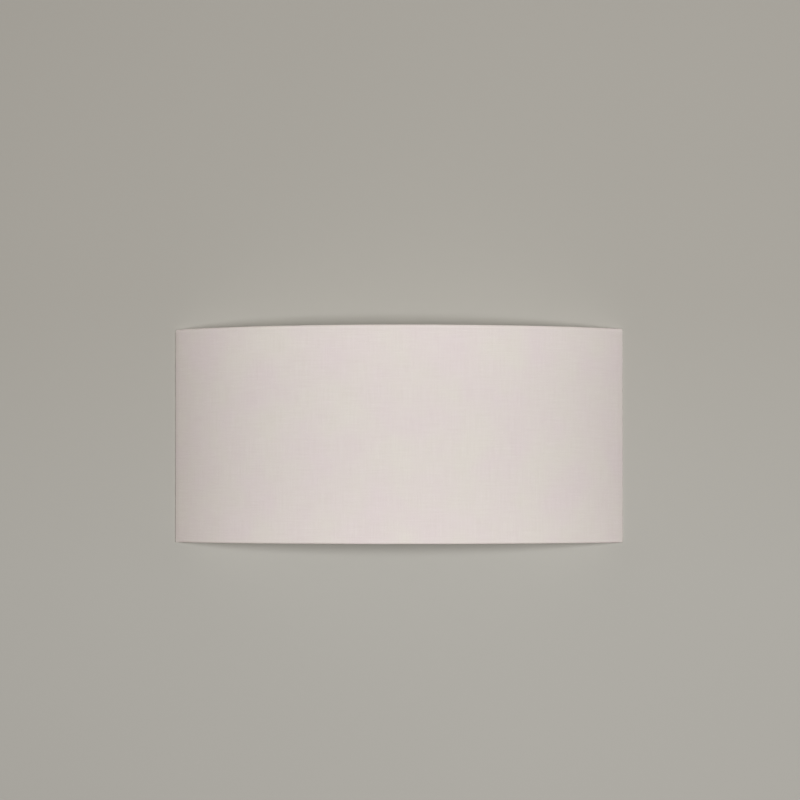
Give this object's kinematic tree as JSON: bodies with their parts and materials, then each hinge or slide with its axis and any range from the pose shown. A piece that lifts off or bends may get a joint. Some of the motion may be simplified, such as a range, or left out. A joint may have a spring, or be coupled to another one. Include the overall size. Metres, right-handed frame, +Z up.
{
  "type": "wall light",
  "caption": "Shallow half-drum fabric shade on a wire frame, hung by slotted straps and thumbscrews on a steel wall box that carries upright lampholders with golf ball bulbs.",
  "frame": {"origin": "middle of the wall bracket's rear face, on the wall, level with the middle of the shade", "axes": "+Z up, +Y into the wall, +X to the right for someone who faces the light, and -Y is the front"},
  "size_m": [0.38, 0.1, 0.181],
  "materials": {
    "fabric": "fine plain weave, pale ivory",
    "liner": "translucent white sheet",
    "frame_white": "white dip coat",
    "box_white": "satin white powder coat",
    "zinc": "bright zinc plate",
    "brass": "turned, satin",
    "nickel": "nickel plate",
    "spring_bronze": "rolled spring strip",
    "white_moulding": "moulded, satin",
    "opal": "opal diffuser",
    "black_moulding": "moulded",
    "board": "white lacquered board",
    "wire_brown": "silicone insulation",
    "wire_blue": "silicone insulation",
    "wire_green": "green and yellow insulation",
    "sleeve": "glass fibre sleeving"
  },
  "bodies": {
    "wall_unit": {"block_screw": "zinc", "box_studs": "zinc", "box_washers": "zinc", "bracket_rivets": "zinc", "cable_bush": "white_moulding", "centre_contacts": "spring_bronze", "dome_nuts": "nickel", "earth_screws": "brass", "earth_tags": "nickel", "earth_wires": "wire_green", "front_nuts": "zinc", "left_holder_base": "white_moulding", "left_holder_skirt": "white_moulding", "left_lamp_bracket": "box_white", "live_wires": "wire_brown", "lock_washers": "zinc", "neutral_wires": "wire_blue", "nipple_nuts": "zinc", "nipples": "zinc", "right_holder_base": "white_moulding", "right_holder_skirt": "white_moulding", "right_lamp_bracket": "box_white", "screw_shells": "nickel", "side_nuts": "zinc", "terminal_barrels": "brass", "terminal_block": "white_moulding", "terminal_screws": "zinc", "wall_box": "box_white", "wall_bracket": "zinc", "wire_bushes": "white_moulding", "wire_sleeves": "sleeve"},
    "shade": {"shade_fabric": "fabric", "shade_liner": "liner", "top_ring_arc": "frame_white", "bottom_ring_arc": "frame_white", "top_rear_bar": "frame_white", "bottom_rear_bar": "frame_white", "left_corner_post": "frame_white", "right_corner_post": "frame_white", "left_fixing_strap": "frame_white", "right_fixing_strap": "frame_white"},
    "left_washer": {"left_thumb_washer": "nickel"},
    "left_thumbscrew": {"left_thumb_knob": "brass", "left_thumb_stud": "zinc"},
    "left_bulb": {"left_bulb_dome": "opal", "left_bulb_housing": "white_moulding", "left_bulb_cap": "nickel", "left_bulb_insulator": "black_moulding", "left_bulb_tip": "nickel", "left_led_board": "board"},
    "right_washer": {"right_thumb_washer": "nickel"},
    "right_thumbscrew": {"right_thumb_knob": "brass", "right_thumb_stud": "zinc"},
    "right_bulb": {"right_bulb_dome": "opal", "right_bulb_housing": "white_moulding", "right_bulb_cap": "nickel", "right_bulb_insulator": "black_moulding", "right_bulb_tip": "nickel", "right_led_board": "board"}
  },
  "joints": [
    {"name": "shade_pull", "type": "slide", "parent": "wall_unit", "child": "shade", "axis": [0, -1, 0], "range_m": [0, 0.12]},
    {"name": "left_washer_travel", "type": "slide", "parent": "wall_unit", "child": "left_washer", "axis": [-1, 0, 0], "range_m": [0, 0.0035]},
    {"name": "left_thumb_turn", "type": "hinge", "parent": "left_washer", "child": "left_thumbscrew", "pos_m": [-0.1, -0.01272, 0], "axis": [-1, 0, 0], "range_deg": [0, 1802]},
    {"name": "left_bulb_out", "type": "slide", "parent": "wall_unit", "child": "left_bulb", "axis": [0, 0, 1], "range_m": [0, 0.03]},
    {"name": "right_washer_travel", "type": "slide", "parent": "wall_unit", "child": "right_washer", "axis": [1, 0, 0], "range_m": [0, 0.0035]},
    {"name": "right_thumb_turn", "type": "hinge", "parent": "right_washer", "child": "right_thumbscrew", "pos_m": [0.1, -0.01272, 0], "axis": [1, 0, 0], "range_deg": [0, 1802]},
    {"name": "right_bulb_out", "type": "slide", "parent": "wall_unit", "child": "right_bulb", "axis": [0, 0, 1], "range_m": [0, 0.03]}
  ],
  "couplings": [
    {"joint": "left_thumb_turn", "follows": "left_washer_travel", "rad_per_m": 8976},
    {"joint": "right_thumb_turn", "follows": "right_washer_travel", "rad_per_m": 8976}
  ]
}
